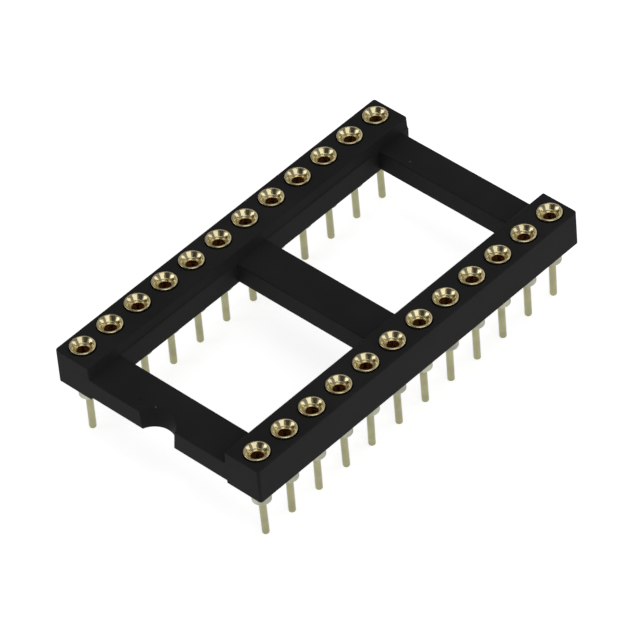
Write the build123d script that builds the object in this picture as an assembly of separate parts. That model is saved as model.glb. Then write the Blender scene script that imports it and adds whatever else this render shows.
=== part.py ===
from build123d import *

import os

# Open-frame dual in-line socket with turned contacts, 24 ways in two rows. Sizes are in millimetres.
# The origin lies in the top surface of the circuit board, midway between the rows and halfway
# along them. +Z points up out of the board, +X runs along the rows away from the notched end,
# and contact 1 stands at the notched end in the row on the -Y side.

# Contact grid
PITCH = 2.54
ROW_SPACING = 15.24
CONTACTS_PER_ROW = 12

# Moulded housing
HOUSING_THICKNESS = 2.8
RAIL_WIDTH = 3.0
RAIL_OVERHANG = 1.27
BAR_WIDTH = 2.94
BAR_RECESS = 1.0
BAR_RELIEF = 0.22
FAR_BAR_INSET = 0.58
CENTRE_BARS = 1
CORNER_RADIUS = 0.2
INNER_DRAFT = 0.09
EDGE_RADIUS = 0.12

# Index notch in the bar beside contact 1
NOTCH_RADIUS = 1.65
NOTCH_DEPTH = 1.12
NOTCH_DRAFT = 0.2
NOTCH_EDGE_BREAK = 0.12

# Turned sleeve of a contact
HEAD_DIAMETER = 1.8
HEAD_PROUD = 0.15
HEAD_THICKNESS = 0.45
BARREL_DIAMETER = 1.3
SHOULDER_CHAMFER = 0.08
STANDOFF = 1.4
TAIL_DIAMETER = 0.5
TAIL_LENGTH = 3.05
TAIL_TIP_LENGTH = 0.2
TAIL_TIP_DIAMETER = 0.22

# Conical mouth and bore of the sleeve
MOUTH_DIAMETER = 1.52
BORE_DIAMETER = 1.04
BORE_DEPTH = 3.1

# Four-finger clip pressed into the bore
CLIP_WALL = 0.1
CLIP_LEAD_IN = 0.06
COLLAR_LENGTH = 0.55
FINGER_WIDTH = 0.42
FINGER_TIP_WIDTH = 0.3
FINGER_LENGTH = 1.5
FINGER_COUNT = 4
LEAD_GAP = 0.4

# Clearances
HEAD_SEAT_CLEARANCE = 0.03
FINGER_CLEARANCE = 0.01

# Levels and lengths that follow from the sizes above
UNDERSIDE = STANDOFF
RAIL_TOP = UNDERSIDE + HOUSING_THICKNESS
BAR_TOP = RAIL_TOP - BAR_RECESS
HEAD_TOP = RAIL_TOP + HEAD_PROUD
HEAD_SEAT = HEAD_TOP - HEAD_THICKNESS
BORE_TOP = HEAD_TOP - (MOUTH_DIAMETER - BORE_DIAMETER) / 2
HOUSING_LENGTH = (CONTACTS_PER_ROW - 1) * PITCH + 2 * RAIL_OVERHANG
RAIL_OUTER = ROW_SPACING / 2 + RAIL_OVERHANG
RAIL_INNER = RAIL_OUTER - RAIL_WIDTH

UPRIGHT = (Align.CENTER, Align.CENTER, Align.MIN)


def section(points):
    """Face in the XZ plane from its corners, given as (x, z) in order."""
    return make_face(Polyline(*[(x, 0, z) for x, z in points], close=True))


def contact_places():
    """Number, x and y of each contact, counted down one row and back up the other."""
    places = []
    for step in range(CONTACTS_PER_ROW):
        x = (step - (CONTACTS_PER_ROW - 1) / 2) * PITCH
        places.append((step + 1, x, -ROW_SPACING / 2))
        places.append((2 * CONTACTS_PER_ROW - step, x, ROW_SPACING / 2))
    return sorted(places)


def rail():
    """Rail of the +Y row. Its inner wall is drafted both ways from a parting line at the bars' top."""
    corners = [
        (RAIL_OUTER, UNDERSIDE),
        (RAIL_OUTER, RAIL_TOP),
        (RAIL_INNER + INNER_DRAFT, RAIL_TOP),
        (RAIL_INNER, BAR_TOP),
        (RAIL_INNER + INNER_DRAFT, UNDERSIDE),
    ]
    profile = make_face(Polyline(*[(0, y, z) for y, z in corners], close=True))
    block = Pos(-HOUSING_LENGTH / 2, 0, 0) * extrude(profile, HOUSING_LENGTH, dir=(1, 0, 0))
    upright_edges = block.edges().filter_by(Axis.Z).group_by(Axis.Y)[-1]
    block = fillet(upright_edges, CORNER_RADIUS)
    rim = block.faces().sort_by(Axis.Z)[-1].edges()
    return fillet(rim, EDGE_RADIUS)


def bar_spans():
    """Start along X and width of each crossbar: the notched one, the far one and those between."""
    half = HOUSING_LENGTH / 2
    spans = [(-half, BAR_WIDTH), (half - BAR_WIDTH, BAR_WIDTH - FAR_BAR_INSET)]
    for index in range(CENTRE_BARS):
        share = (index + 1) / (CENTRE_BARS + 1)
        spans.append((-half + share * (HOUSING_LENGTH - BAR_WIDTH), BAR_WIDTH))
    return spans


def crossbar(start, width):
    """Bar from x = start that reaches into both rails, lower than their tops and clear of their underside."""
    reach = 2 * RAIL_INNER + RAIL_WIDTH
    underside = UNDERSIDE + BAR_RELIEF
    bar = Box(width, reach, BAR_TOP - underside, align=(Align.MIN, Align.CENTER, Align.MIN))
    return Pos(start, 0, underside) * bar


def index_notch():
    """Cutter for the part-round index notch: it narrows downwards, and its upper edge is broken."""
    centre = -HOUSING_LENGTH / 2 + NOTCH_DEPTH - NOTCH_RADIUS
    shaft = Cone(NOTCH_RADIUS - NOTCH_DRAFT, NOTCH_RADIUS, BAR_TOP - UNDERSIDE, align=UPRIGHT)
    edge = Cone(NOTCH_RADIUS, NOTCH_RADIUS + NOTCH_EDGE_BREAK, NOTCH_EDGE_BREAK, align=UPRIGHT)
    return Pos(centre, 0, UNDERSIDE) * shaft + Pos(centre, 0, BAR_TOP - NOTCH_EDGE_BREAK) * edge


def contact_hole():
    """Cutter for one contact: the press hole through the rail and the seat of the head."""
    hole = Cylinder(BARREL_DIAMETER / 2, HOUSING_THICKNESS, align=UPRIGHT)
    seat = Cylinder(HEAD_DIAMETER / 2 + HEAD_SEAT_CLEARANCE, RAIL_TOP - HEAD_SEAT, align=UPRIGHT)
    return Pos(0, 0, UNDERSIDE) * hole + Pos(0, 0, HEAD_SEAT) * seat


def housing():
    """Moulded frame: two rails, the crossbars, the index notch and the contact holes."""
    body = rail() + mirror(rail(), Plane.XZ)
    for start, width in bar_spans():
        body += crossbar(start, width)
    body -= index_notch()
    for _, x, y in contact_places():
        body -= Pos(x, y, 0) * contact_hole()
    return body


def sleeve():
    """Turned sleeve: head with a conical mouth, bored barrel, seating shoulder and board tail."""
    head = HEAD_DIAMETER / 2
    barrel = BARREL_DIAMETER / 2
    tail = TAIL_DIAMETER / 2
    half_section = section(
        [
            (0, -TAIL_LENGTH),
            (0, HEAD_TOP - BORE_DEPTH),
            (BORE_DIAMETER / 2, HEAD_TOP - BORE_DEPTH),
            (BORE_DIAMETER / 2, BORE_TOP),
            (MOUTH_DIAMETER / 2, HEAD_TOP),
            (head, HEAD_TOP),
            (head, HEAD_SEAT),
            (barrel, HEAD_SEAT),
            (barrel, SHOULDER_CHAMFER),
            (barrel - SHOULDER_CHAMFER, 0),
            (tail, 0),
            (tail, -TAIL_LENGTH + TAIL_TIP_LENGTH),
            (TAIL_TIP_DIAMETER / 2, -TAIL_LENGTH),
        ]
    )
    return revolve(half_section, Axis.Z)


def clip():
    """Contact clip: a collar held in the bore, and flat fingers that close in below it on a lead."""
    outer = BORE_DIAMETER / 2
    inner = outer - CLIP_WALL
    collar_end = BORE_TOP - COLLAR_LENGTH
    body = revolve(
        section(
            [
                (inner + CLIP_LEAD_IN, BORE_TOP),
                (outer, BORE_TOP),
                (outer, collar_end),
                (inner, collar_end),
                (inner, BORE_TOP - CLIP_LEAD_IN),
            ]
        ),
        Axis.Z,
    )
    # A flat finger's corners are what reaches furthest out towards the round bore.
    root = ((outer - FINGER_CLEARANCE) ** 2 - (FINGER_WIDTH / 2) ** 2) ** 0.5
    root_end = collar_end + COLLAR_LENGTH / 4
    tip_end = collar_end - FINGER_LENGTH
    root_section = Pos(root - CLIP_WALL / 2, 0, collar_end) * Rectangle(CLIP_WALL, FINGER_WIDTH)
    tip_section = Pos((LEAD_GAP + CLIP_WALL) / 2, 0, tip_end) * Rectangle(CLIP_WALL, FINGER_TIP_WIDTH)
    finger = extrude(root_section, root_end - collar_end) + loft([root_section, tip_section], ruled=True)
    for index in range(FINGER_COUNT):
        body += Rot(0, 0, index * 360 / FINGER_COUNT) * finger
    return body


def main():
    """Write one STEP file for each piece."""
    os.makedirs("parts", exist_ok=True)
    export_step(housing(), "parts/housing.step")
    one_sleeve = sleeve()
    one_clip = clip()
    for number, x, y in contact_places():
        export_step(Pos(x, y, 0) * one_sleeve, f"parts/sleeve_{number:02d}.step")
        export_step(Pos(x, y, 0) * one_clip, f"parts/clip_{number:02d}.step")


main()
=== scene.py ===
"""Open-frame dual in-line socket with 24 turned contacts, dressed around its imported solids.

Lengths in the classes are in millimetres, in the part's own frame: the origin lies in the circuit
board's top surface, +Z points up out of the board and +X runs along the rows away from the notch.
"""

import logging
import math
from dataclasses import dataclass
from enum import Enum
from typing import Sequence

import bmesh
import bpy
import numpy as np
from mathutils import Matrix, Vector
from mathutils.geometry import tessellate_polygon


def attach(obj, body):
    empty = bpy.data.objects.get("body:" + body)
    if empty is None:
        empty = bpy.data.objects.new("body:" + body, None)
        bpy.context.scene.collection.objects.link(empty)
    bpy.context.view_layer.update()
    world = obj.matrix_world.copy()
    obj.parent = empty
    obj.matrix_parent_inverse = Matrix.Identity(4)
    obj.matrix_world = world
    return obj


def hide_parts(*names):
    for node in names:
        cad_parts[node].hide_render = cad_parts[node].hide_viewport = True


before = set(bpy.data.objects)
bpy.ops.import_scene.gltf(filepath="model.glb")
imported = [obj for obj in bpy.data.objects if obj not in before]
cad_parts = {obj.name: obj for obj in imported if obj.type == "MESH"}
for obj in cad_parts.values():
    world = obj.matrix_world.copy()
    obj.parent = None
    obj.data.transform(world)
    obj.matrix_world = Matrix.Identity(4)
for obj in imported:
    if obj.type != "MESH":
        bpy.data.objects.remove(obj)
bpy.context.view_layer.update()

MM = 0.001
MERGE_METRES = 1e-7
SLIVER_METRES = 1e-8
BODY = "root"
IMAGE_PIXELS = 638
SENSOR_MM = 36.0
SEED = 24

Colour = tuple[float, float, float]

log = logging.getLogger("socket")


# Choices


class Row(Enum):
    """The two rows of contacts, named by the side of the frame that they stand on."""

    NEAR = -1.0
    FAR = 1.0


class SleeveZone(Enum):
    """Stretches of a turned sleeve that are plated alike."""

    HEAD = 0
    BARREL = 1
    TAIL = 2


class ClipZone(Enum):
    """Stretches of a clip that are finished alike."""

    COLLAR = 0
    # The fingers' finish carries painted shade: a darker, redder gold for their depth in the bore.
    FINGER = 1


# Outlines and skins


def arc(centre: Sequence[float], radius: float, start: float, end: float, steps: int) -> np.ndarray:
    """Points of a circular arc, centre + radius * (cos a, sin a) for a from start to end.

    Args:
        centre: Centre of the arc in its plane.
        radius: Radius in the same unit.
        start: First angle in degrees.
        end: Last angle in degrees.
        steps: Number of equal steps of the angle.

    Returns:
        An array of steps + 1 points, one per row.
    """
    angle = np.radians(np.linspace(start, end, steps + 1))
    return np.stack([centre[0] + radius * np.cos(angle), centre[1] + radius * np.sin(angle)], axis=1)


def rounded_path(corners: Sequence[Sequence[float]], radii: Sequence[float], steps: int) -> np.ndarray:
    """An open path through corners, each rounded by an arc that touches both of its sides.

    At a corner with unit directions a and b towards its neighbours and half angle h between them,
    the arc's centre lies at radius / sin(h) along the bisector and it touches at radius / tan(h).

    Args:
        corners: The path's corners in order, in their plane.
        radii: A radius for each corner; 0 keeps it sharp, and the two ends are never rounded.
        steps: Steps of each arc.

    Returns:
        The points of the path, one per row.
    """
    points = np.asarray(corners, float)
    out = [points[:1]]
    for before, here, after, radius in zip(points[:-2], points[1:-1], points[2:], radii[1:-1]):
        if radius <= 0:
            out.append(here[None])
            continue
        a = (before - here) / np.linalg.norm(before - here)
        b = (after - here) / np.linalg.norm(after - here)
        half = 0.5 * math.acos(float(np.clip(a @ b, -1.0, 1.0)))
        bisector = (a + b) / np.linalg.norm(a + b)
        middle = here + bisector * radius / math.sin(half)
        from_a = here + a * radius / math.tan(half) - middle
        from_b = here + b * radius / math.tan(half) - middle
        turn = math.acos(float(np.clip(from_a @ from_b / radius**2, -1.0, 1.0)))
        share = np.linspace(0.0, 1.0, steps + 1)[:, None]
        swept = np.sin((1 - share) * turn) * from_a + np.sin(share * turn) * from_b
        out.append(middle + swept / math.sin(turn))
    out.append(points[-1:])
    return np.concatenate(out)


def revolved(profile: np.ndarray, x: float, y: float, segments: int) -> np.ndarray:
    """A surface of revolution: (x + r cos a, y + r sin a, z) for each profile point (r, z) and angle a.

    Args:
        profile: Points (r, z), one per row.
        x: Place of the axis.
        y: Place of the axis.
        segments: Number of angles round the axis.

    Returns:
        A grid of points, profile along the rows and angle along the columns.
    """
    angle = np.linspace(0.0, 2 * np.pi, segments, endpoint=False)
    radius, height = profile[:, :1], profile[:, 1:] * np.ones_like(angle)
    return np.stack([x + radius * np.cos(angle), y + radius * np.sin(angle), height], axis=2)


class Skin:
    """Gathers grids and flat fills into one closed mesh. Points are in millimetres."""

    def __init__(self) -> None:
        """Start with no points and no faces."""
        self.points: list[np.ndarray] = []
        self.quads: list[np.ndarray] = []
        self.triangles: list[np.ndarray] = []
        self.quad_uv: list[np.ndarray] = []
        self.quad_zone: list[np.ndarray] = []
        self.triangle_zone: list[np.ndarray] = []
        self.count = 0

    def add_grid(self, grid: np.ndarray, flip: bool = False, zone: int = 0) -> None:
        """Add the quads of a grid of points whose last column joins the first.

        In the UV map, u runs from 0 to 1 along the columns, and v down the rows in millimetres.

        Args:
            grid: Points with shape (rows, columns, 3).
            flip: Turn the faces over.
            zone: Material index of the faces.
        """
        rows, columns = grid.shape[:2]
        left = self.count + np.arange(rows * columns).reshape(rows, columns)
        right = np.roll(left, -1, axis=1)
        quads = np.stack([left[:-1], right[:-1], right[1:], left[1:]], axis=2).reshape(-1, 4)
        along = np.linalg.norm(np.diff(grid[:, 0], axis=0), axis=1).cumsum()
        v = np.concatenate([[0.0], along])
        u = np.arange(columns + 1) / columns
        low = np.meshgrid(v[:-1], u[:-1], indexing="ij")
        high = np.meshgrid(v[1:], u[1:], indexing="ij")
        corners = [low[1], low[0], high[1], low[0], high[1], high[0], low[1], high[0]]
        uv = np.stack(corners, axis=2).reshape(-1, 4, 2)
        if flip:
            quads, uv = quads[:, ::-1], uv[:, ::-1]
        self.points.append(grid.reshape(-1, 3))
        self.quads.append(quads)
        self.quad_uv.append(uv)
        self.quad_zone.append(np.full(len(quads), zone))
        self.count += rows * columns

    def add_flat(self, loops: Sequence[np.ndarray], up: bool, zone: int = 0) -> None:
        """Fill a flat region between an outer loop and its holes.

        Args:
            loops: Rings of points, the outer one first.
            up: Whether the face looks towards +Z.
            zone: Material index of the faces.
        """
        points = np.concatenate(loops)
        found = np.array(tessellate_polygon([[Vector(p) for p in loop] for loop in loops]))
        a, b, c = points[found[:, 0]], points[found[:, 1]], points[found[:, 2]]
        rising = np.cross(b - a, c - a)[:, 2] > 0
        found = np.where((rising == up)[:, None], found, found[:, ::-1])
        self.points.append(points)
        self.triangles.append(found + self.count)
        self.triangle_zone.append(np.full(len(found), zone))
        self.count += len(points)

    def to_object(self, name: str, materials: Sequence[bpy.types.Material]) -> bpy.types.Object:
        """Make the Blender object, with shared points merged, flat fills shaded flat and its origin at 0.

        Args:
            name: Name of the piece.
            materials: Materials in the order of the zones.

        Returns:
            The linked object.
        """
        points = np.concatenate(self.points) * MM
        quads = np.concatenate(self.quads) if self.quads else np.zeros((0, 4), int)
        triangles = np.concatenate(self.triangles) if self.triangles else np.zeros((0, 3), int)
        mesh = bpy.data.meshes.new(name)
        mesh.from_pydata(points, [], quads.tolist() + triangles.tolist())
        uv = np.zeros((len(quads) * 4 + len(triangles) * 3, 2), np.float32)
        if len(quads):
            uv[: len(quads) * 4] = np.concatenate(self.quad_uv).reshape(-1, 2)
        uv[len(quads) * 4:] = points[triangles.reshape(-1), :2] / MM
        mesh.uv_layers.new(name="UVMap").data.foreach_set("uv", uv.reshape(-1))
        zones = np.concatenate(self.quad_zone + self.triangle_zone).astype(np.int32)
        mesh.polygons.foreach_set("material_index", zones)
        mesh.polygons.foreach_set("use_smooth", np.arange(len(mesh.polygons)) < len(quads))
        shaped = bmesh.new()
        shaped.from_mesh(mesh)
        bmesh.ops.remove_doubles(shaped, verts=shaped.verts, dist=MERGE_METRES)
        bmesh.ops.dissolve_degenerate(shaped, edges=shaped.edges, dist=SLIVER_METRES)
        shaped.to_mesh(mesh)
        shaped.free()
        for material in materials:
            mesh.materials.append(material)
        piece = bpy.data.objects.new(name, mesh)
        bpy.context.scene.collection.objects.link(piece)
        return piece


def weigh_normals(piece: bpy.types.Object) -> None:
    """Let large flat faces set the shading of the rounded edges beside them.

    Args:
        piece: The piece to shade.
    """
    modifier = piece.modifiers.new("flat faces first", "WEIGHTED_NORMAL")
    modifier.mode = "FACE_AREA"
    modifier.weight = 100
    modifier.keep_sharp = True


# Finishes


class Nodes:
    """Short calls for the node tree of one material."""

    def __init__(self, name: str) -> None:
        """Make the material and its surface shader.

        Args:
            name: Name of the finish.
        """
        self.material = bpy.data.materials.new(name)
        self.material.use_nodes = True
        self.tree = self.material.node_tree
        self.shader = self.tree.nodes["Principled BSDF"]

    def node(self, kind: str, inputs: dict | None = None, **settings) -> bpy.types.Node:
        """Add a node.

        Args:
            kind: Blender's type name of the node.
            inputs: Input name or index to a value or to another node's output.
            **settings: Attributes of the node.

        Returns:
            The new node.
        """
        made = self.tree.nodes.new(kind)
        for key, value in settings.items():
            setattr(made, key, value)
        for key, value in (inputs or {}).items():
            self.feed(made.inputs[key], value)
        return made

    def feed(self, socket: bpy.types.NodeSocket, value) -> None:
        """Set an input to a value, or link it to an output.

        Args:
            socket: The input.
            value: A number, a colour or another node's output.
        """
        if isinstance(value, bpy.types.NodeSocket):
            self.tree.links.new(value, socket)
        else:
            socket.default_value = value

    def compute(self, operation: str, a, b) -> bpy.types.NodeSocket:
        """Combine two values or outputs by one of the Math node's operations."""
        return self.node("ShaderNodeMath", {0: a, 1: b}, operation=operation).outputs[0]

    def blend(self, factor: bpy.types.NodeSocket, stops: dict[float, Colour]) -> bpy.types.NodeSocket:
        """Blend from one colour to another as a factor rises.

        Args:
            factor: The output that drives the blend.
            stops: The two colours, by the factor at which each is reached.

        Returns:
            The blended colour.
        """
        made = self.node("ShaderNodeValToRGB", {"Fac": factor})
        for element, (place, colour) in zip(made.color_ramp.elements, stops.items()):
            element.position = place
            element.color = (*colour, 1.0)
        return made.outputs["Color"]

    def span(self, factor: bpy.types.NodeSocket, low: float, high: float) -> bpy.types.NodeSocket:
        """Spread a factor from 0 to 1 over low to high."""
        made = self.node("ShaderNodeMapRange", {"Value": factor, "To Min": low, "To Max": high})
        return made.outputs["Result"]

    def noise(self, where: bpy.types.NodeSocket, scale: float, detail: float = 3.0) -> bpy.types.NodeSocket:
        """Soft random values between 0 and 1, with that many waves per unit of the coordinates."""
        made = self.node("ShaderNodeTexNoise", {"Vector": where, "Scale": scale, "Detail": detail})
        return made.outputs["Fac"]

    def bump(
        self, height: bpy.types.NodeSocket, distance: float, under: bpy.types.NodeSocket | None = None
    ) -> bpy.types.NodeSocket:
        """Turn a height into relief.

        Args:
            height: The output that holds the height, from 0 to 1.
            distance: How far apart heights 0 and 1 lie, in metres.
            under: The normal of another relief to lay this one over.

        Returns:
            The normal.
        """
        made = self.node("ShaderNodeBump", {"Height": height, "Distance": distance})
        if under is not None:
            self.feed(made.inputs["Normal"], under)
        return made.outputs["Normal"]


@dataclass(frozen=True)
class MouldedPlastic:
    """Black glass-filled plastic with the fine matt grain of a spark-eroded mould."""

    base: Colour = (0.0275, 0.027, 0.027)
    darkest: float = 0.86
    palest: float = 1.16
    specular: float = 0.05
    roughness: tuple[float, float] = (0.54, 0.64)
    clouds_per_metre: float = 220.0
    grain_mm: float = 0.045
    grain_depth_mm: float = 0.0022
    dust: Colour = (0.1, 0.097, 0.09)
    dust_cells_per_metre: float = 700.0
    clean_share: float = 0.975
    speck_share: float = 0.045

    def specks(self, nodes: Nodes, place: bpy.types.NodeSocket) -> bpy.types.NodeSocket:
        """Sparse dust: a small disc at the centre of the few random cells above the clean share.

        Args:
            nodes: The material in the making.
            place: The coordinates.

        Returns:
            1 on a speck and 0 elsewhere.
        """
        cells = {"Vector": place, "Scale": self.dust_cells_per_metre, "Randomness": 1.0}
        cell = nodes.node("ShaderNodeTexVoronoi", cells).outputs
        chance = nodes.node("ShaderNodeSeparateColor", {"Color": cell["Color"]}).outputs[0]
        rare = nodes.compute("GREATER_THAN", chance, self.clean_share)
        near = nodes.compute("LESS_THAN", cell["Distance"], self.speck_share)
        return nodes.compute("MULTIPLY", rare, near)

    def material(self) -> bpy.types.Material:
        """Build the material.

        Returns:
            The plastic, with its grain, slight cloudiness, and sparse specks of dust.
        """
        nodes = Nodes("moulded_plastic")
        place = nodes.node("ShaderNodeTexCoord").outputs["Object"]
        cloud = nodes.noise(place, self.clouds_per_metre)
        grain = nodes.noise(place, 1.0 / (self.grain_mm * MM), detail=2.0)
        low = tuple(c * self.darkest for c in self.base)
        high = tuple(c * self.palest for c in self.base)
        mixed = nodes.node("ShaderNodeMix", data_type="RGBA")
        factor, clean, dusty, result = mixed.inputs[0], mixed.inputs[6], mixed.inputs[7], mixed.outputs[2]
        nodes.feed(factor, self.specks(nodes, place))
        nodes.feed(clean, nodes.blend(cloud, {0.3: low, 0.7: high}))
        nodes.feed(dusty, (*self.dust, 1.0))
        nodes.feed(nodes.shader.inputs["Base Color"], result)
        nodes.feed(nodes.shader.inputs["Roughness"], nodes.span(cloud, *self.roughness))
        nodes.shader.inputs["Specular IOR Level"].default_value = self.specular
        nodes.feed(nodes.shader.inputs["Normal"], nodes.bump(grain, self.grain_depth_mm * MM))
        return nodes.material


@dataclass(frozen=True)
class TurnedPlating:
    """Thin gold over nickel on a turned part: fine rings left by the tool under a soft plated gloss."""

    name: str
    base: Colour
    roughness: tuple[float, float]
    ring_pitch_mm: float
    ring_depth_mm: float
    dent_mm: float
    dent_depth_mm: float
    stain: float
    waves_per_turn: float = 1.5
    clouds_per_metre: float = 900.0

    def material(self) -> bpy.types.Material:
        """Build the material.

        The mesh's UV map runs round the part in u and along its profile, in millimetres, in v.

        Returns:
            The plating, with tool rings, shallow dents, slight staining and a varying roughness.
        """
        nodes = Nodes(self.name)
        coordinates = nodes.node("ShaderNodeTexCoord")
        place, along = coordinates.outputs["Object"], coordinates.outputs["UV"]
        scale = (self.waves_per_turn, 1.0 / self.ring_pitch_mm, 1.0)
        stretched = nodes.node("ShaderNodeMapping", {"Vector": along, "Scale": scale})
        rings = nodes.noise(stretched.outputs["Vector"], 1.0, detail=2.0)
        cloud = nodes.noise(place, self.clouds_per_metre)
        low = tuple(c * (1.0 - self.stain) for c in self.base)
        high = tuple(min(c * (1.0 + 0.5 * self.stain), 1.0) for c in self.base)
        nodes.feed(nodes.shader.inputs["Base Color"], nodes.blend(cloud, {0.32: low, 0.68: high}))
        nodes.feed(nodes.shader.inputs["Roughness"], nodes.span(rings, *self.roughness))
        nodes.shader.inputs["Metallic"].default_value = 1.0
        dented = nodes.noise(place, 1.0 / (self.dent_mm * MM), detail=1.0)
        dents = nodes.bump(dented, self.dent_depth_mm * MM)
        nodes.feed(nodes.shader.inputs["Normal"], nodes.bump(rings, self.ring_depth_mm * MM, dents))
        return nodes.material


@dataclass(frozen=True)
class SprungGold:
    """Gold over a drawn and stamped spring strip."""

    name: str
    base: Colour
    roughness: tuple[float, float]
    darkest: float = 0.88
    clouds_per_metre: float = 1500.0
    lines_per_metre: tuple[float, float, float] = (30000.0, 30000.0, 2500.0)
    line_depth_mm: float = 0.0006

    def material(self) -> bpy.types.Material:
        """Build the material.

        Returns:
            The gold, with drawing lines along the strip and a little cloudiness.
        """
        nodes = Nodes(self.name)
        place = nodes.node("ShaderNodeTexCoord").outputs["Object"]
        drawn = nodes.node("ShaderNodeMapping", {"Vector": place, "Scale": self.lines_per_metre})
        lines = nodes.noise(drawn.outputs["Vector"], 1.0, detail=2.0)
        cloud = nodes.noise(place, self.clouds_per_metre)
        low = tuple(c * self.darkest for c in self.base)
        nodes.feed(nodes.shader.inputs["Base Color"], nodes.blend(cloud, {0.35: low, 0.65: self.base}))
        nodes.feed(nodes.shader.inputs["Roughness"], nodes.span(lines, *self.roughness))
        nodes.shader.inputs["Metallic"].default_value = 1.0
        nodes.feed(nodes.shader.inputs["Normal"], nodes.bump(lines, self.line_depth_mm * MM))
        return nodes.material


HEAD_PLATING = TurnedPlating(
    "head_plating",
    base=(0.9, 0.79, 0.475),
    roughness=(0.07, 0.15),
    ring_pitch_mm=0.03,
    ring_depth_mm=0.0012,
    dent_mm=0.2,
    dent_depth_mm=0.008,
    stain=0.12,
)
BARREL_PLATING = TurnedPlating(
    "barrel_plating",
    base=(0.42, 0.42, 0.33),
    roughness=(0.34, 0.5),
    ring_pitch_mm=0.06,
    ring_depth_mm=0.002,
    dent_mm=0.1,
    dent_depth_mm=0.006,
    stain=0.3,
)
TAIL_PLATING = TurnedPlating(
    "tail_plating",
    base=(0.345, 0.336, 0.195),
    roughness=(0.18, 0.3),
    ring_pitch_mm=0.05,
    ring_depth_mm=0.0015,
    dent_mm=0.16,
    dent_depth_mm=0.003,
    stain=0.15,
)
COLLAR_GOLD = SprungGold("clip_gold", base=(0.91, 0.78, 0.44), roughness=(0.2, 0.3))
# The fingers' darker, redder base colour is painted shade for their depth in the bore; the real clip is the
# same gold all over.
FINGER_GOLD_PAINTED_SHADE = SprungGold("clip_gold_painted_shade", base=(0.68, 0.31, 0.1), roughness=(0.45, 0.6))


# Contact grid


@dataclass(frozen=True)
class Grid:
    """Places of the contacts of a 24-way package, and the heights that the pieces share."""

    pitch: float = 2.54
    spacing: float = 15.24
    ways: int = 12
    underside: float = 1.4
    rail_top: float = 4.2
    bar_top: float = 3.2
    head_top: float = 4.35
    head_seat: float = 3.9
    tail_end: float = -3.05

    def along(self) -> np.ndarray:
        """X of each contact along a row, from the notched end."""
        return (np.arange(self.ways) - (self.ways - 1) / 2) * self.pitch

    def places(self) -> list[tuple[int, float, float]]:
        """Number, x and y of each contact, down the near row and back up the far one.

        Returns:
            The places in the order of the numbers.
        """
        out = []
        for step, x in enumerate(self.along()):
            out.append((step + 1, float(x), Row.NEAR.value * self.spacing / 2))
            out.append((2 * self.ways - step, float(x), Row.FAR.value * self.spacing / 2))
        return sorted(out)


# Housing


@dataclass(frozen=True)
class Crossbar:
    """One bar between the rails: the x of its two sides, and whether it has the index notch."""

    start: float
    end: float
    notched: bool = False


@dataclass(frozen=True)
class GateMark:
    """The torn stub of the mould's gate, a low dome beside the notch with an uneven edge.

    Each wave is how much it swells the edge, how often it goes round it, and where it starts.
    """

    x: float = -14.46
    y: float = 2.14
    radius: float = 0.085
    height: float = 0.075
    sunk: float = 0.01
    waves: tuple[tuple[float, int, float], ...] = ((0.16, 2, 0.6), (0.1, 5, 0.0))
    tilt: float = 0.012
    tilt_start: float = 1.0
    closed_share: float = 0.999
    rings: int = 9
    segments: int = 28

    def surface(self, base: float) -> np.ndarray:
        """The dome from its foot up.

        At share t of its height the radius is r sqrt(1 - t^2) times 1 plus the waves' sines.

        Args:
            base: Height of the surface that it stands on.

        Returns:
            A grid of points, rings along the rows.
        """
        share = np.linspace(0.0, self.closed_share, self.rings)[:, None]
        angle = np.linspace(0.0, 2 * np.pi, self.segments, endpoint=False)[None]
        uneven = 1.0
        for swell, count, start in self.waves:
            uneven = uneven + swell * np.sin(count * angle + start)
        radius = self.radius * uneven * np.sqrt(1.0 - share**2)
        leaning = self.tilt * share * np.sin(angle + self.tilt_start)
        height = base - self.sunk + self.height * share + leaning
        return np.stack([self.x + radius * np.cos(angle), self.y + radius * np.sin(angle), height], axis=2)


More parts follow.
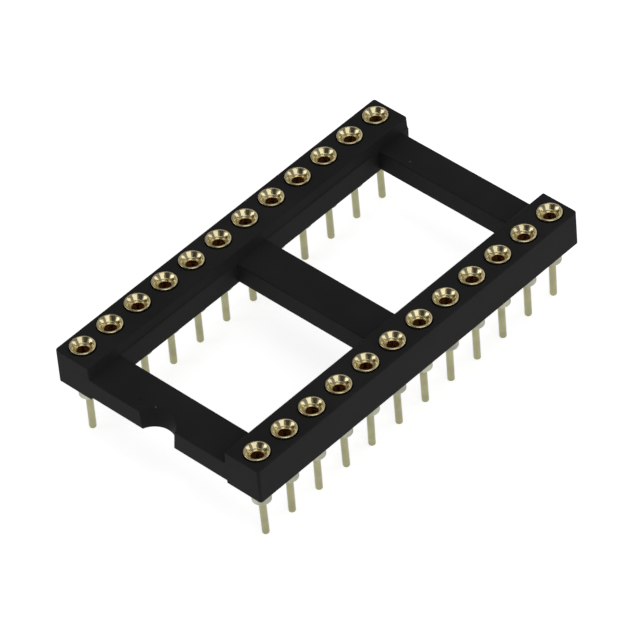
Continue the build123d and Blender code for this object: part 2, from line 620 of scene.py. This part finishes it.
@dataclass
class Housing:
    """The moulded frame: two rails with press holes, three crossbars, the index notch and the gate mark."""

    grid: Grid
    material: bpy.types.Material
    gate_mark: GateMark = GateMark()
    length: float = 30.48
    outer: float = 8.89
    inner: float = 5.89
    draft: float = 0.09
    corner_radius: float = 0.2
    inner_corner_radius: float = 0.1
    sharp_radius: float = 0.004
    least_radius: float = 0.003
    rim_radius: float = 0.12
    foot_radius: float = 0.05
    flat_rim: float = 0.045
    parting_band: float = 0.004
    witness_rise: float = 0.13
    witness_step: float = 0.025
    witness_fade: float = 0.9
    witness_foot: float = 0.001
    witness_head: float = 0.012
    seat_radius: float = 0.93
    hole_radius: float = 0.65
    hole_edge: float = 0.02
    bar_relief: float = 0.22
    bar_width: float = 2.94
    far_inset: float = 0.58
    bar_edge_radius: float = 0.09
    bar_overlap: float = 0.008
    bar_reach: float = 0.3
    bar_tuck: float = 0.012
    notch_radius: float = 1.65
    notch_depth: float = 1.12
    notch_draft: float = 0.2
    notch_chamfer: float = 0.12
    foot_steps: int = 3
    rim_steps: int = 5
    inner_steps: int = 5
    outer_steps: int = 9
    notch_steps: int = 48
    hole_segments: int = 72

    def wall_y(self, z: float) -> float:
        """Y of the inner wall: it leans back above and below the parting line at the bars' top.

        A little above that line the upper half of the mould stands back by a small step, which
        fades out towards the top.

        Args:
            z: Height.

        Returns:
            The far rail's wall at that height.
        """
        grid = self.grid
        above = (z - grid.bar_top) / (grid.rail_top - grid.bar_top)
        below = (grid.bar_top - z) / (grid.bar_top - grid.underside)
        lean = self.draft * (above if z > grid.bar_top else below)
        step = self.witness_step if z > grid.bar_top + self.witness_rise else 0.0
        return self.inner + lean + step * max(0.0, 1.0 - (z - grid.bar_top) / self.witness_fade)

    def rail_rows(self) -> np.ndarray:
        """How far the rail's outline is drawn in, and its height, from the underside up.

        Returns:
            Pairs of inset and height, one per row.
        """
        grid = self.grid
        foot, rim, line = self.foot_radius, self.rim_radius, grid.bar_top + self.witness_rise
        parting = [grid.bar_top - self.parting_band, grid.bar_top + self.parting_band]
        witness = [line - self.witness_foot, line + self.witness_head]
        return np.concatenate(
            [
                [(foot + self.flat_rim, grid.underside)],
                arc((foot, grid.underside + foot), foot, 270, 180, self.foot_steps),
                [(0.0, z) for z in parting + witness],
                arc((rim, grid.rail_top - rim), rim, 180, 90, self.rim_steps),
                [(rim + self.flat_rim, grid.rail_top)],
            ]
        )

    def rail_outline(self, inset: float, z: float) -> np.ndarray:
        """Plan outline of the far rail at one height.

        Its outer corners are rounded. Its inner ones are sharp up to the bars, which carry on from
        the same end face, and rounded above them.

        Args:
            inset: How far the outline is drawn in.
            z: Height, which sets the drafted inner wall.

        Returns:
            A ring of points (x, y, z), anticlockwise from above.
        """
        half = self.length / 2 - inset
        high = self.outer - inset
        low = self.wall_y(z) + inset
        big = self.corner_radius - inset
        rounded = self.inner_corner_radius if z > self.grid.bar_top else self.sharp_radius
        small = max(rounded - inset, self.least_radius)
        ring = np.concatenate(
            [
                arc((half - small, low + small), small, -90, 0, self.inner_steps),
                arc((half - big, high - big), big, 0, 90, self.outer_steps),
                arc((-half + big, high - big), big, 90, 180, self.outer_steps),
                arc((-half + small, low + small), small, 180, 270, self.inner_steps),
            ]
        )
        return np.column_stack([ring, np.full(len(ring), z)])

    def add_rail(self, skin: Skin, row: Row) -> None:
        """Add one rail: its outline is carried up the rows, and its contact holes are revolved.

        Args:
            skin: The mesh in the making.
            row: Which rail.
        """
        grid = self.grid
        side = np.array([1.0, row.value, 1.0])
        wall = np.stack([self.rail_outline(inset, z) for inset, z in self.rail_rows()]) * side
        skin.add_grid(wall, flip=row is Row.NEAR)
        edge = self.hole_edge
        hole = rounded_path(
            [
                (self.hole_radius + edge + self.flat_rim, grid.underside),
                (self.hole_radius + edge, grid.underside),
                (self.hole_radius, grid.underside + edge),
                (self.hole_radius, grid.head_seat),
                (self.seat_radius, grid.head_seat),
                (self.seat_radius, grid.rail_top),
                (self.seat_radius + edge + self.flat_rim, grid.rail_top),
            ],
            [0, 0, 0, 0, 0, edge, 0],
            self.foot_steps,
        )
        tops, feet = [wall[-1]], [wall[0]]
        for x in grid.along():
            surface = revolved(hole, float(x), row.value * grid.spacing / 2, self.hole_segments)
            skin.add_grid(surface)
            tops.append(surface[-1])
            feet.append(surface[0])
        skin.add_flat(tops, up=True)
        skin.add_flat(feet, up=False)

    def bar_outline(self, bar: Crossbar, inset: float, bevel: float, z: float) -> np.ndarray:
        """Plan outline of a crossbar at one height.

        Its ends draw in a little once they are inside the rails, so that they don't lie in the
        rails' own end faces. The notch is the arc of a circle whose centre lies outside the bar and
        whose radius grows with height, and it meets the bar's outer side where that side's x equals
        the circle's.

        Args:
            bar: The bar.
            inset: How far the sides are drawn in.
            bevel: How far the notch is widened.
            z: Height.

        Returns:
            A ring of points (x, y, z), anticlockwise from above.
        """
        grid = self.grid
        hold, reach = self.wall_y(z) + self.bar_overlap, self.inner + self.bar_reach
        near, far = bar.start + inset, bar.end - inset
        left, right = near + self.bar_tuck, far - self.bar_tuck
        ring = [
            [(left, -reach), (right, -reach), (far, -hold)],
            [(far, hold), (right, reach), (left, reach), (near, hold)],
        ]
        if bar.notched:
            centre = bar.start + self.notch_depth - self.notch_radius
            narrowed = self.notch_draft * (grid.bar_top - z) / (grid.bar_top - grid.underside)
            radius = self.notch_radius - narrowed + bevel
            turn = math.degrees(math.acos((near - centre) / radius))
            ring.append(arc((centre, 0.0), radius, turn, -turn, self.notch_steps))
        flat = np.concatenate([*ring, [(near, -hold)]])
        return np.column_stack([flat, np.full(len(flat), z)])

    def add_bar(self, skin: Skin, bar: Crossbar) -> None:
        """Add one crossbar, whose ends are buried in the rails.

        Up to the foot of the notch's broken edge the notch follows the inset of the sides. Above
        it, the notch widens by as much as the height gains.

        Args:
            skin: The mesh in the making.
            bar: The bar.
        """
        top, low = self.grid.bar_top, self.grid.underside + self.bar_relief
        foot, rim, brim, chamfer = self.foot_radius, self.bar_edge_radius, self.flat_rim, self.notch_chamfer
        feet = [(foot + brim, low), *arc((foot, low + foot), foot, 270, 180, self.foot_steps)]
        rims = [(0.0, top - chamfer), *arc((rim, top - rim), rim, 180, 90, self.rim_steps)]
        rings = [self.bar_outline(bar, inset, inset, z) for inset, z in feet]
        rings += [self.bar_outline(bar, inset, max(0.0, chamfer - (top - z)), z) for inset, z in rims]
        rings.append(self.bar_outline(bar, rim + brim, chamfer + brim, top))
        wall = np.stack(rings)
        skin.add_grid(wall)
        skin.add_flat([wall[-1]], up=True)
        skin.add_flat([wall[0]], up=False)

    def add_gate_mark(self, skin: Skin) -> None:
        """Add the stub of the mould's gate on the notched bar.

        Args:
            skin: The mesh in the making.
        """
        dome = self.gate_mark.surface(self.grid.bar_top)
        skin.add_grid(dome)
        skin.add_flat([dome[0]], up=False)
        skin.add_flat([dome[-1]], up=True)

    def build(self) -> bpy.types.Object:
        """Make the housing and set it in place of its solid.

        Returns:
            The housing's object.
        """
        skin = Skin()
        for row in Row:
            self.add_rail(skin, row)
        half = self.length / 2
        self.add_bar(skin, Crossbar(-half, -half + self.bar_width, notched=True))
        self.add_bar(skin, Crossbar(-self.bar_width / 2, self.bar_width / 2))
        self.add_bar(skin, Crossbar(half - self.bar_width, half - self.far_inset))
        self.add_gate_mark(skin)
        piece = skin.to_object("housing_frame", [self.material])
        weigh_normals(piece)
        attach(piece, BODY)
        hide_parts("housing")
        return piece


# Contacts


@dataclass
class TurnedSleeve:
    """A contact's sleeve, turned from bar: funnel mouth, head, barrel, seating shoulder and tail."""

    grid: Grid
    finishes: Sequence[bpy.types.Material]
    head_radius: float = 0.865
    head_round: float = 0.05
    crown: float = 0.01
    seat_round: float = 0.03
    barrel_radius: float = 0.65
    barrel_round: float = 0.04
    shoulder_chamfer: float = 0.08
    shoulder_round: float = 0.06
    tail_radius: float = 0.25
    root_round: float = 0.14
    plating_line: float = -0.03
    mouth_radius: float = 0.76
    mouth_round: float = 0.03
    waist_radius: float = 0.665
    waist_depth: float = 0.095
    waist_round: float = 0.5
    funnel_depth: float = 0.3
    bore_radius: float = 0.52
    bore_round: float = 0.02
    bore_depth: float = 3.1
    floor_round: float = 0.1
    nearly: float = 0.001
    steps: int = 6
    segments: int = 64

    def profile(self, tip_round: float) -> tuple[np.ndarray, np.ndarray]:
        """Outer and inner half sections, rounded where the tool and the plating round the real ones.

        The funnel opens a little wider near its mouth, as a countersink over a steeper lead-in does.

        Args:
            tip_round: Radius of the tail's lower edge.

        Returns:
            The tail and shank from the tip up to the head's seat, and the head and bore from there on.
        """
        top, seat, end = self.grid.head_top, self.grid.head_seat, self.grid.tail_end
        bore_top, floor = top - self.funnel_depth, top - self.bore_depth
        shank = rounded_path(
            [
                (0.0, end),
                (self.tail_radius, end),
                (self.tail_radius, 0.0),
                (self.barrel_radius - self.shoulder_chamfer, 0.0),
                (self.barrel_radius, self.shoulder_chamfer),
                (self.barrel_radius, seat),
            ],
            [0, tip_round, self.root_round, self.shoulder_round, self.barrel_round, 0],
            self.steps,
        )
        head = rounded_path(
            [
                (self.barrel_radius, seat),
                (self.head_radius, seat),
                (self.head_radius, top - self.crown),
                (self.mouth_radius, top),
                (self.waist_radius, top - self.waist_depth),
                (self.bore_radius, bore_top),
                (self.bore_radius, floor),
                (0.0, floor),
            ],
            [
                0,
                self.seat_round,
                self.head_round,
                self.mouth_round,
                self.waist_round,
                self.bore_round,
                self.floor_round,
                0,
            ],
            self.steps,
        )
        return shank, head

    def build(
        self, number: int, x: float, y: float, lean: np.ndarray, tip_round: float
    ) -> bpy.types.Object:
        """Make one sleeve in place of its solid.

        Below the shoulder the tail leans by a share of its depth, as a handled contact does. The
        tail, the head with its funnel, and the rest with the bore are plated differently.

        Args:
            number: Number of the contact.
            x: Place of its axis.
            y: Place of its axis.
            lean: How far the tip stands off along X and Y.
            tip_round: Radius of the tail's lower edge.

        Returns:
            The sleeve's object.
        """
        shank, head = self.profile(tip_round)
        root = int(np.argmax(shank[:, 1] > self.plating_line))
        bore = int(np.argmax(head[:, 0] < self.bore_radius + self.nearly))
        skin = Skin()
        for part, zone in (
            (shank[: root + 1], SleeveZone.TAIL),
            (shank[root:], SleeveZone.BARREL),
            (head[: bore + 1], SleeveZone.HEAD),
            (head[bore:], SleeveZone.BARREL),
        ):
            surface = revolved(part, x, y, self.segments)
            depth = np.minimum(surface[..., 2:], 0.0) / self.grid.tail_end
            surface[..., :2] += lean * depth
            skin.add_grid(surface, zone=zone.value)
        piece = skin.to_object(f"turned_sleeve_{number:02d}", self.finishes)
        weigh_normals(piece)
        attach(piece, BODY)
        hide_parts(f"sleeve_{number:02d}")
        return piece


@dataclass
class ContactClip:
    """A sleeve's spring clip: a bell-mouthed collar over four tapered fingers that close in."""

    finishes: Sequence[bpy.types.Material]
    outer: float = 0.52
    wall: float = 0.1
    top: float = 4.05
    collar: float = 0.32
    collar_clearance: float = 0.002
    foot_round: float = 0.02
    lip_round: float = 0.003
    flare: float = 0.512
    flare_drop: float = 0.162
    bell: float = 0.12
    throat: float = 0.398
    seam_rise: float = 0.03
    collar_steps: int = 8
    segments: int = 64
    fingers: int = 4
    finger_length: float = 1.67
    finger_tuck: float = 0.08
    finger_clearance: float = 0.005
    root_width: float = 0.5
    tip_width: float = 0.3
    tip_gap: float = 0.4
    curl: float = 0.35
    strip_share: float = 0.9
    squareness: float = 0.35
    hollow_radius: float = 0.47
    flattening: float = 0.6
    finger_rings: int = 17
    strip_segments: int = 24

    def finger(self, turn: float, x: float, y: float) -> np.ndarray:
        """One finger: a rounded strip section carried from the collar to the tip.

        At share t of its length the strip's middle lies at radius R(t), falling smoothly from the
        collar's to half the tip gap, and its width and hollow taper with t. The section at angle a
        is (w |cos a|^p, v |sin a|^p) with the signs of the cosine and the sine, a rounded rectangle.

        Args:
            turn: Direction of the finger in degrees.
            x: Place of the clip's axis.
            y: Place of the clip's axis.

        Returns:
            A grid of points, rows down the finger and columns round its section.
        """
        t = np.linspace(0.0, 1.0, self.finger_rings)[:, None]
        bend = t * t * (3 - 2 * t) * self.curl + t * (1 - self.curl)
        middle_root = self.outer - self.wall / 2 - self.finger_clearance
        middle_tip = (self.tip_gap + self.wall) / 2
        radius = middle_root + (middle_tip - middle_root) * bend
        half_width = 0.5 * (self.root_width + (self.tip_width - self.root_width) * t)
        half_depth = 0.5 * self.wall * self.strip_share
        angle = np.linspace(0.0, 2 * np.pi, self.strip_segments, endpoint=False)[None]
        across = half_width * np.sign(np.sin(angle)) * np.abs(np.sin(angle)) ** self.squareness
        through = half_depth * np.sign(np.cos(angle)) * np.abs(np.cos(angle)) ** self.squareness
        hollow = self.hollow_radius - np.sqrt(self.hollow_radius**2 - across**2)
        out = radius + through - hollow * (1 - self.flattening * t)
        start = self.top - self.collar + self.finger_tuck
        height = (start - (self.finger_length + self.finger_tuck) * t) * np.ones_like(angle)
        c, s = math.cos(math.radians(turn)), math.sin(math.radians(turn))
        return np.stack([x + out * c - across * s, y + out * s + across * c, height], axis=2)

    def collar_section(self) -> np.ndarray:
        """Half section of the collar, a closed ring that starts and ends in the throat.

        Returns:
            Points (r, z), one per row.
        """
        low = self.top - self.collar
        outside = self.outer - self.collar_clearance
        seam = (self.throat, low + self.seam_rise)
        return rounded_path(
            [
                seam,
                (self.throat, low),
                (outside, low),
                (outside, self.top),
                (self.flare, self.top),
                (self.throat, self.top - self.flare_drop),
                seam,
            ],
            [0, self.foot_round, self.foot_round, self.lip_round, 0, self.bell, 0],
            self.collar_steps,
        )

    def build(self, number: int, x: float, y: float, turn: float) -> bpy.types.Object:
        """Make one clip in place of its solid.

        Args:
            number: Number of the contact.
            x: Place of its axis.
            y: Place of its axis.
            turn: How far the clip is turned in its bore, in degrees.

        Returns:
            The clip's object.
        """
        skin = Skin()
        skin.add_grid(revolved(self.collar_section(), x, y, self.segments), zone=ClipZone.COLLAR.value)
        for index in range(self.fingers):
            strip = self.finger(turn + index * 360 / self.fingers, x, y)
            skin.add_grid(strip, flip=True, zone=ClipZone.FINGER.value)
            skin.add_flat([strip[0]], up=True, zone=ClipZone.FINGER.value)
            skin.add_flat([strip[-1]], up=False, zone=ClipZone.FINGER.value)
        piece = skin.to_object(f"contact_clip_{number:02d}", self.finishes)
        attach(piece, BODY)
        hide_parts(f"clip_{number:02d}")
        return piece


@dataclass
class ContactRows:
    """All 24 contacts, each a sleeve with its clip, and the small ways in which they differ."""

    grid: Grid
    sleeves: TurnedSleeve
    clips: ContactClip
    near_leans: tuple[float, ...] = (
        0.04, -0.02, -0.017, 0.02, -0.05, 0.0,
        0.0, -0.028, -0.005, -0.005, -0.018, -0.04,
    )
    sideways: tuple[float, float] = (0.72, -0.69)
    spread: float = 0.02
    tip_rounds: tuple[float, ...] = (0.07, 0.1, 0.14, 0.2)
    clip_turn: float = 12.0

    def build(self) -> None:
        """Make the contacts. The near row's tails lean as seen, the far row's by chance."""
        rng = np.random.default_rng(SEED)
        for number, x, y in self.grid.places():
            chance = float(rng.uniform(-self.spread, self.spread))
            lean = self.near_leans[number - 1] if number <= self.grid.ways else chance
            tip_round = float(rng.choice(self.tip_rounds))
            sleeve = self.sleeves.build(number, x, y, lean * np.array(self.sideways), tip_round)
            clip = self.clips.build(number, x, y, float(rng.uniform(-self.clip_turn, self.clip_turn)))
            faces = len(sleeve.data.polygons), len(clip.data.polygons)
            log.info("%s: %d faces, %s: %d faces", sleeve.name, faces[0], clip.name, faces[1])


# Studio


def look_from(azimuth: float, elevation: float) -> np.ndarray:
    """Unit direction from the object to a place at that azimuth and elevation, in degrees."""
    a, e = math.radians(azimuth), math.radians(elevation)
    return np.array([math.sin(a) * math.cos(e), -math.cos(a) * math.cos(e), math.sin(e)])


@dataclass(frozen=True)
class Camera:
    """The camera that took the photograph, found from the 24 heads."""

    height: float
    azimuth: float = -43.742
    elevation: float = 43.639
    roll: float = -5.444
    distance: float = 384.034
    focal_pixels: float = 5969.54
    across: float = 0.087
    up: float = -2.661
    nearest_metres: float = 0.01
    furthest_metres: float = 20.0

    def axes(self) -> np.ndarray:
        """Right, up and back of the camera.

        Returns:
            The three unit directions, one per row.
        """
        back = look_from(self.azimuth, self.elevation)
        a, r = math.radians(self.azimuth), math.radians(self.roll)
        right = np.array([math.cos(a), math.sin(a), 0.0])
        up = np.cross(back, right)
        c, s = math.cos(r), math.sin(r)
        return np.stack([c * right + s * up, -s * right + c * up, back])

    def place(self) -> np.ndarray:
        """Where the camera stands, in millimetres."""
        offset = self.axes().T @ np.array([self.across, self.up, self.distance])
        return offset + np.array([0, 0, self.height])

    def build(self) -> bpy.types.Object:
        """Make the camera and give it to the scene.

        Returns:
            The camera's object.
        """
        lens = bpy.data.cameras.new("photo_camera")
        lens.sensor_fit = "HORIZONTAL"
        lens.sensor_width = SENSOR_MM
        lens.lens = self.focal_pixels / IMAGE_PIXELS * SENSOR_MM
        lens.clip_start = self.nearest_metres
        lens.clip_end = self.furthest_metres
        piece = bpy.data.objects.new("photo_camera", lens)
        turn = Matrix(self.axes().T.tolist()).to_4x4()
        piece.matrix_world = Matrix.Translation(Vector(self.place() * MM)) @ turn
        bpy.context.scene.collection.objects.link(piece)
        bpy.context.scene.camera = piece
        return piece


@dataclass(frozen=True)
class Softbox:
    """An area lamp that looks at the object."""

    name: str
    azimuth: float
    elevation: float
    distance: float
    size: tuple[float, float]
    power: float

    def build(self) -> bpy.types.Object:
        """Make the lamp.

        Returns:
            The lamp's object.
        """
        back = Vector(look_from(self.azimuth, self.elevation))
        lamp = bpy.data.lights.new(self.name, "AREA")
        lamp.shape = "RECTANGLE"
        lamp.size, lamp.size_y = self.size[0] * MM, self.size[1] * MM
        lamp.energy = self.power
        piece = bpy.data.objects.new(self.name, lamp)
        piece.location = back * self.distance * MM
        piece.rotation_euler = back.to_track_quat("Z", "Y").to_euler()
        bpy.context.scene.collection.objects.link(piece)
        return piece


@dataclass(frozen=True)
class Flag:
    """A dark backdrop card on a stand, which gives the metal something dark to mirror."""

    name: str
    azimuth: float
    elevation: float
    distance: float
    size: tuple[float, float]
    tone: float
    roughness: float = 0.9

    def build(self) -> bpy.types.Object:
        """Make the card.

        Returns:
            The card's object.
        """
        nodes = Nodes(self.name)
        nodes.shader.inputs["Base Color"].default_value = (self.tone, self.tone, self.tone, 1.0)
        nodes.shader.inputs["Roughness"].default_value = self.roughness
        nodes.shader.inputs["Specular IOR Level"].default_value = 0.0
        back = Vector(look_from(self.azimuth, self.elevation))
        turn = back.to_track_quat("Z", "Y").to_matrix()
        w, h = self.size[0] / 2, self.size[1] / 2
        flat = (Vector(c) for c in ((-w, -h, 0), (w, -h, 0), (w, h, 0), (-w, h, 0)))
        corners = [(back * self.distance + turn @ corner) * MM for corner in flat]
        mesh = bpy.data.meshes.new(self.name)
        mesh.from_pydata(corners, [], [(3, 2, 1, 0)])
        mesh.materials.append(nodes.material)
        piece = bpy.data.objects.new(self.name, mesh)
        bpy.context.scene.collection.objects.link(piece)
        piece.visible_camera = False
        return piece


@dataclass(frozen=True)
class Studio:
    """Pale floor, grey surroundings that darken overhead, five soft lamps and one dark card."""

    floor_z: float
    floor_size: float = 3000.0
    floor_tone: float = 0.86
    floor_roughness: float = 0.9
    floor_specular: float = 0.1
    floor_lift: float = 0.78
    horizon: float = 0.44
    overhead: float = 0.25
    darkens_from: float = 0.05
    darkens_to: float = 0.5
    lamps: tuple[Softbox, ...] = (
        Softbox("key_softbox", -24.0, 34.0, 420.0, (290.0, 290.0), 0.21),
        Softbox("left_softbox", -135.5, 18.0, 460.0, (240.0, 220.0), 0.165),
        Softbox("right_softbox", 45.5, 18.0, 460.0, (240.0, 220.0), 0.128),
        Softbox("top_softbox", 0.0, 90.0, 460.0, (210.0, 210.0), 0.2),
        Softbox("back_softbox", 97.0, 40.0, 420.0, (480.0, 280.0), 0.12),
    )
    card: Flag = Flag("dark_card", -85.5, 32.0, 400.0, (265.0, 290.0), 0.12)

    def build(self) -> None:
        """Make the floor, the world, the lamps and the card, and set the view transform."""
        skin = Skin()
        half = self.floor_size / 2
        corners = np.array([(-half, -half, 0), (half, -half, 0), (half, half, 0), (-half, half, 0)], float)
        skin.add_flat([corners + (0, 0, self.floor_z)], up=True)
        floor = skin.to_object("studio_floor", [self.floor_material()])
        self.build_world()
        for item in (*self.lamps, self.card):
            item.build()
        bpy.context.scene.view_settings.view_transform = "Standard"

    def floor_material(self) -> bpy.types.Material:
        """A pale matt floor that glows for the camera and in mirrors, and still takes the object's shadow.

        Returns:
            The material.
        """
        nodes = Nodes("floor")
        tone = self.floor_tone
        nodes.shader.inputs["Base Color"].default_value = (tone, tone, tone, 1.0)
        nodes.shader.inputs["Roughness"].default_value = self.floor_roughness
        nodes.shader.inputs["Specular IOR Level"].default_value = self.floor_specular
        nodes.shader.inputs["Emission Color"].default_value = (1.0, 1.0, 1.0, 1.0)
        path = nodes.node("ShaderNodeLightPath").outputs
        mirrored = nodes.compute("MAXIMUM", path["Is Glossy Ray"], path["Is Transmission Ray"])
        seen = nodes.compute("MAXIMUM", path["Is Camera Ray"], mirrored)
        nodes.feed(nodes.shader.inputs["Emission Strength"], nodes.span(seen, 0.0, self.floor_lift))
        return nodes.material

    def build_world(self) -> None:
        """Make the surroundings, a grey that falls smoothly from the horizon to a darker tone overhead."""
        made = bpy.data.worlds.new("surroundings")
        bpy.context.scene.world = made
        made.use_nodes = True
        tree = made.node_tree
        tree.nodes.clear()
        direction = tree.nodes.new("ShaderNodeTexCoord")
        split = tree.nodes.new("ShaderNodeSeparateXYZ")
        strength = tree.nodes.new("ShaderNodeMapRange")
        light = tree.nodes.new("ShaderNodeBackground")
        out = tree.nodes.new("ShaderNodeOutputWorld")
        strength.interpolation_type = "SMOOTHSTEP"
        strength.inputs["From Min"].default_value = self.darkens_from
        strength.inputs["From Max"].default_value = self.darkens_to
        strength.inputs["To Min"].default_value = self.horizon
        strength.inputs["To Max"].default_value = self.overhead
        tree.links.new(direction.outputs["Generated"], split.inputs["Vector"])
        tree.links.new(split.outputs["Z"], strength.inputs["Value"])
        tree.links.new(strength.outputs["Result"], light.inputs["Strength"])
        tree.links.new(light.outputs["Background"], out.inputs["Surface"])


def main() -> None:
    """Build the housing, the contacts and the studio, and report each piece."""
    logging.basicConfig(level=logging.INFO, format="%(name)s: %(message)s")
    grid = Grid()
    housing = Housing(grid, MouldedPlastic().material()).build()
    log.info("%s: %d faces", housing.name, len(housing.data.polygons))
    plating = [finish.material() for finish in (HEAD_PLATING, BARREL_PLATING, TAIL_PLATING)]
    golds = [finish.material() for finish in (COLLAR_GOLD, FINGER_GOLD_PAINTED_SHADE)]
    ContactRows(grid, TurnedSleeve(grid, plating), ContactClip(golds)).build()
    Studio(grid.tail_end).build()
    Camera(grid.head_top).build()


if __name__ == "__main__":
    main()
